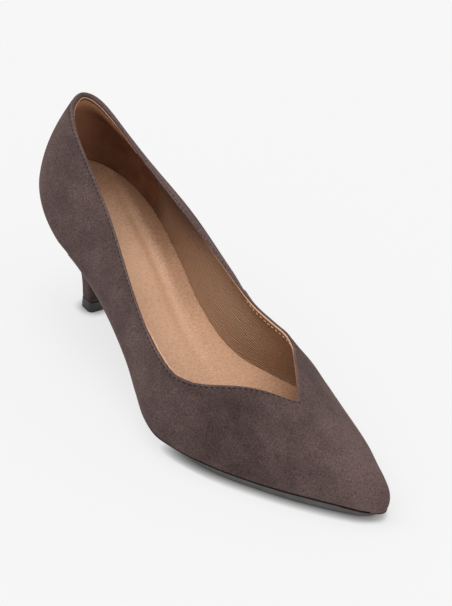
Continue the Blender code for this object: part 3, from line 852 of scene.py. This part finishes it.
alongTop, acrossTop, edgeTop, endTop = plateSheet(insoleForm, lambda share: insoleForm["insetTop"])
alongLow, acrossLow, _, _ = plateSheet(insoleForm, lambda share: insoleForm["insetLow"])
insoleHeight = insoleTop(alongTop, acrossTop, np.minimum(edgeTop, endTop))
insoleHigh = np.stack([alongTop, acrossTop, insoleHeight], axis=-1)
insoleLow = np.stack([alongLow, acrossLow, bottomHeight(alongLow)], axis=-1)
# painted light and shade along the insole, and painted shade on its medial half
insoleShade = brokenLine(insoleForm["shade"], alongTop)
shadow = ease(0, insoleForm["sideReach"], fromTrough(alongTop, acrossTop))
insoleShade = insoleShade - insoleForm["sideShade"] * shadow * fade(*insoleForm["sideEnd"], alongTop)
addSlab("insole_sock", insoleLow, insoleHigh, tanSockLeather, "lining_leather", "insole", insoleShade)


# Outsole: thin moulded sole with fine ribs under the ball

soleForm = {
    "stations": 420, "strips": 40, "firstShare": 0.2275, "lastShare": 0.965, "gap": 0.3,
    "inset": 1.4, "toeInset": 3.2, "toeShares": (0.86, 1.0),
    "lowInset": 0.8, "ballBevel": 2.4, "ballShares": (0.46, 0.58, 0.64, 0.74), "edgeRound": 3.0,
    # along, how much of the thickness the rounded edge takes away
    "edgeDrop": ((140.0, 0.2), (165.0, 0.5), (190.0, 0.68)),
    "ribPitch": 3.2, "ribDepth": 0.3, "ribWidth": 0.16, "ribBow": 0.004,
    "ribZone": (150.0, 156.0, 200.0, 206.0), "ribMargin": (7.0, 9.0),
}


def soleInset(share):
    # even, and larger at the toe, where the sole ends short of the outline
    return soleForm["inset"] + soleForm["toeInset"] * ease(*soleForm["toeShares"], share)


def treadInset(share):
    # the edge is cut under, most of all behind the ball
    bevel = soleForm["ballBevel"] * span(*soleForm["ballShares"], share)
    return soleInset(share) + soleForm["lowInset"] + bevel


def treadHeight(along, across, fromEdge):
    # waist and toe spring from the table, flat on the floor at the ball, with shallow cross ribs,
    # and an edge rounded up by a share of the thickness
    top = bottomHeight(along) - soleForm["gap"]
    tread = np.maximum(top - tableCurve("bottom", 2, along), 0)
    zone = span(*soleForm["ribZone"], along) * ease(*soleForm["ribMargin"], fromEdge)
    ribs = (along + soleForm["ribBow"] * across ** 2) / soleForm["ribPitch"]
    groove = hump(np.abs(ribs % 1 - 0.5), 0, soleForm["ribWidth"])
    rounded = brokenLine(soleForm["edgeDrop"], along) * (top - tread) * roundedEdge(soleForm, fromEdge)
    return tread + soleForm["ribDepth"] * zone * groove + rounded


soleAlong, soleAcross, soleEdge, _ = plateSheet(soleForm, treadInset)
topAlong, topAcross, _, _ = plateSheet(soleForm, soleInset)
soleLow = np.stack([soleAlong, soleAcross, treadHeight(soleAlong, soleAcross, soleEdge)], axis=-1)
soleHigh = np.stack([topAlong, topAcross, bottomHeight(topAlong) - soleForm["gap"]], axis=-1)
addSlab("rubber_sole", soleLow, soleHigh, soleRubber, "sole_rubber", "outsole")


# Lasted margin: the suede turned under at the toe, which shows in front of the sole

marginForm = {"stations": 60, "strips": 24, "firstShare": 0.88, "lastShare": 0.992, "inset": 0.9,
              "top": 0.05, "low": 0.25}    # both below the feather edge

marginAlong, marginAcross, _, _ = plateSheet(marginForm, lambda share: marginForm["inset"])
marginLow, marginHigh = [
    np.stack([marginAlong, marginAcross, bottomHeight(marginAlong) - marginForm[level]], axis=-1)
    for level in ("low", "top")]
addSlab("toe_margin", marginLow, marginHigh, taupeSuede, "suede")


# Heel: suede-covered block that flares from a rounded square up to the seat

heelForm = {
    "breastAlong": 52.0, "seatInset": 1.4, "gap": 0.3, "topPiece": 6.0,
    "footBack": 32.0, "footFront": 41.4, "footHalfWidth": 5.2, "footAcross": -1.5, "footFullness": 4.5,
    "levels": 90, "sidePoints": 56, "breastPoints": 28,
    "cornerTurn": 135.0,                     # degrees from the back to the corners of the breast
    "evenFlare": 0.12, "flarePower": 2.2,    # the sides flare upwards, most of all near the seat
    "coverTuck": 0.35, "tuckHeight": 0.9,    # the cover turns in just above the top piece
    "seatLoops": (0.75, 0.5, 0.25, 0.05),    # loops that close the seat
    "breastShade": 0.45, "breastTurns": (0.2, 0.85),    # painted shade, darker towards the breast, which lies in shadow under the arch
}


def heelFootOutline(turn):
    # superellipse; turn is counted from the back
    middle = (heelForm["footBack"] + heelForm["footFront"]) / 2
    half = (heelForm["footFront"] - heelForm["footBack"]) / 2
    power = 2 / heelForm["footFullness"]
    along = middle - half * np.sign(np.cos(turn)) * np.abs(np.cos(turn)) ** power
    reach = heelForm["footHalfWidth"] * np.sign(np.sin(turn)) * np.abs(np.sin(turn)) ** power
    return np.stack([along, heelForm["footAcross"] - reach], axis=-1)


def heelSeatLoop():
    # seat outline to the breast line, then straight across the breast
    way = (heelForm["breastAlong"] - lastForm["heelReach"]) / (
        lastForm["length"] - lastForm["toeReach"] - lastForm["heelReach"])
    breastShare = between(lastForm["heelShare"], lastForm["toeShare"], way)
    share = np.linspace(0, breastShare, heelForm["sidePoints"])
    lateral, medial = [
        np.stack(insetOutline(side, share, heelForm["seatInset"]), axis=-1) for side in (-1, 1)]
    crossing = np.linspace(0, 1, heelForm["breastPoints"] + 2)[1:-1, None]
    return np.concatenate([lateral, between(lateral[-1], medial[-1], crossing), medial[:0:-1]])


def stackFaces(stack):
    # a stack of loops with flat caps
    return gridFaces(*stack.shape[:2], False, True).tolist() + capFaces(*stack.shape[:2]).tolist()


cornerTurn = np.radians(heelForm["cornerTurn"])
heelTurn = np.concatenate([
    np.linspace(0, cornerTurn, heelForm["sidePoints"]),
    np.linspace(cornerTurn, 2 * np.pi - cornerTurn, heelForm["breastPoints"] + 2)[1:-1],
    np.linspace(2 * np.pi - cornerTurn, 2 * np.pi, heelForm["sidePoints"])[:-1]])
heelFoot, heelSeat = heelFootOutline(heelTurn), heelSeatLoop()
level = np.linspace(0, 1, heelForm["levels"])[:, None, None]
flare = heelForm["evenFlare"] * level + (1 - heelForm["evenFlare"]) * level ** heelForm["flarePower"]
heelPlan = between(heelFoot, heelSeat, flare)
footHeight = heelForm["topPiece"] + heelForm["gap"]
seatHeight = bottomHeight(heelSeat[:, 0]) - heelForm["gap"]
heelHeight = between(footHeight, seatHeight, level[..., 0])
turnIn = heelForm["coverTuck"] * fade(0, heelForm["tuckHeight"], heelHeight - footHeight)
heelPlan = heelPlan - unit(heelPlan - heelFoot.mean(axis=0)) * turnIn[..., None]
heelLoops = np.concatenate([heelPlan, heelHeight[..., None]], axis=-1)
seatMiddle = heelSeat.mean(axis=0)
capPlan = between(seatMiddle, heelSeat, np.array(heelForm["seatLoops"])[:, None, None])
capLoops = np.concatenate([capPlan, bottomHeight(capPlan[..., :1]) - heelForm["gap"]], axis=-1)
heelStack = np.concatenate([heelLoops, capLoops])
# painted shade towards the breast
heelShade = -heelForm["breastShade"] * ease(*heelForm["breastTurns"], (1 - np.cos(heelTurn)) / 2)
addPiece("suede_heel", heelStack, stackFaces(heelStack), [taupeSuede], "suede", "heel",
         shade=np.broadcast_to(heelShade, heelStack.shape[:2]))


# Top piece: black rubber lift with softened edges

tipForm = {"points": 96, "bevel": 0.45, "bevelSteps": 5, "sideLevels": (2.0, 4.0)}

tipOutline = heelFootOutline(np.linspace(0, 2 * np.pi, tipForm["points"], endpoint=False))
tipOutward = unit(tipOutline - tipOutline.mean(axis=0))
bend = np.linspace(0, np.pi / 2, tipForm["bevelSteps"])
falling, rising = tipForm["bevel"] * (1 - np.sin(bend)), tipForm["bevel"] * (1 - np.cos(bend))
tipInset = np.concatenate([falling, np.zeros(len(tipForm["sideLevels"])), rising])[:, None, None]
tipHeight = np.concatenate([rising, tipForm["sideLevels"], heelForm["topPiece"] - falling])[:, None, None]
tipPlan = tipOutline - tipOutward * tipInset
tipStack = np.concatenate([tipPlan, np.broadcast_to(tipHeight, tipPlan.shape[:2] + (1,))], axis=-1)
addPiece("top_piece", tipStack, stackFaces(tipStack), [topPieceRubber], "top_piece_rubber", "heel_tip")


# Floor, light and camera

studio = {
    "floorSize": 6.0, "floorColour": "#868686", "floorGlow": 0.68,
    "contactMm": 5.2, "contactDepth": 1.7, "contactSamples": 24,
    "airColour": "#ffffff", "airStrength": 0.6,
    "keyStrength": 1.5, "keyAngle": 60.0, "keyFrom": (-0.3, 0.3, 1.0),
}

# paper sweep lit from behind, an even glow, with a painted contact shadow: the glow fades in the last
# millimetres under an edge
floorMaterial, floorTree = newMaterial("litPaperSweep", {
    "Base Color": toLinear(studio["floorColour"]), "Roughness": 1.0, "Specular IOR Level": 0.0,
    "Emission Strength": studio["floorGlow"]})
paintedContactShadow = addNode(floorTree, "AmbientOcclusion", {"samples": studio["contactSamples"]},
                  {"Color": toLinear("#ffffff"), "Distance": studio["contactMm"] * 0.001})
deepened = addNode(floorTree, "Gamma", values={"Gamma": studio["contactDepth"]},
                   links={"Color": paintedContactShadow})
feedShader(floorTree, {"Emission Color": deepened})
floorMesh = bpy.data.meshes.new("floor")
reach = studio["floorSize"] / 2
floorMesh.from_pydata([(-reach, -reach, 0), (reach, -reach, 0), (reach, reach, 0), (-reach, reach, 0)],
                      [], [(0, 1, 2, 3)])
floorMesh.materials.append(floorMaterial)
floor = addObject("floor", floorMesh)

world = bpy.data.worlds.new("studioAir")
world.use_nodes = True
air = world.node_tree.nodes["Background"]
air.inputs["Color"].default_value = toLinear(studio["airColour"])
air.inputs["Strength"].default_value = studio["airStrength"]
bpy.context.scene.world = world


def aimMatrix(right, up, place):
    # object axes to the frame's: X = right, Y = up, Z = backwards
    right, up = np.array(right), np.array(up)
    back = np.cross(right, up)
    return Matrix([[*row, spot] for row, spot in zip(np.stack([right, up, back], axis=-1).tolist(), place)]
                  + [[0, 0, 0, 1]])


keyLight = bpy.data.lights.new("overheadSoftbox", "SUN")
keyLight.energy = studio["keyStrength"]
keyLight.angle = np.radians(studio["keyAngle"])
keyBack = unit(np.array(studio["keyFrom"]))
keyRight = unit(np.cross((0.0, 1.0, 0.0), keyBack))
key = addObject("overheadSoftbox", keyLight)
key.matrix_world = aimMatrix(keyRight, np.cross(keyBack, keyRight), (0, 0, 1))

view = {
    "place": (-0.366183, -0.455178, 0.42685),
    "right": (0.80772, -0.57805, 0.11593),
    "up": (0.23762, 0.49915, 0.83330),
    "lens": 89.11, "sensor": 36.0, "nearest": 0.01,
}
cameraData = bpy.data.cameras.new("photoView")
cameraData.lens = view["lens"]
cameraData.sensor_width = view["sensor"]
cameraData.clip_start = view["nearest"]
camera = addObject("photoView", cameraData)
camera.matrix_world = aimMatrix(view["right"], view["up"], view["place"])
bpy.context.scene.camera = camera
bpy.context.scene.view_settings.view_transform = "Standard"
print("studio set")
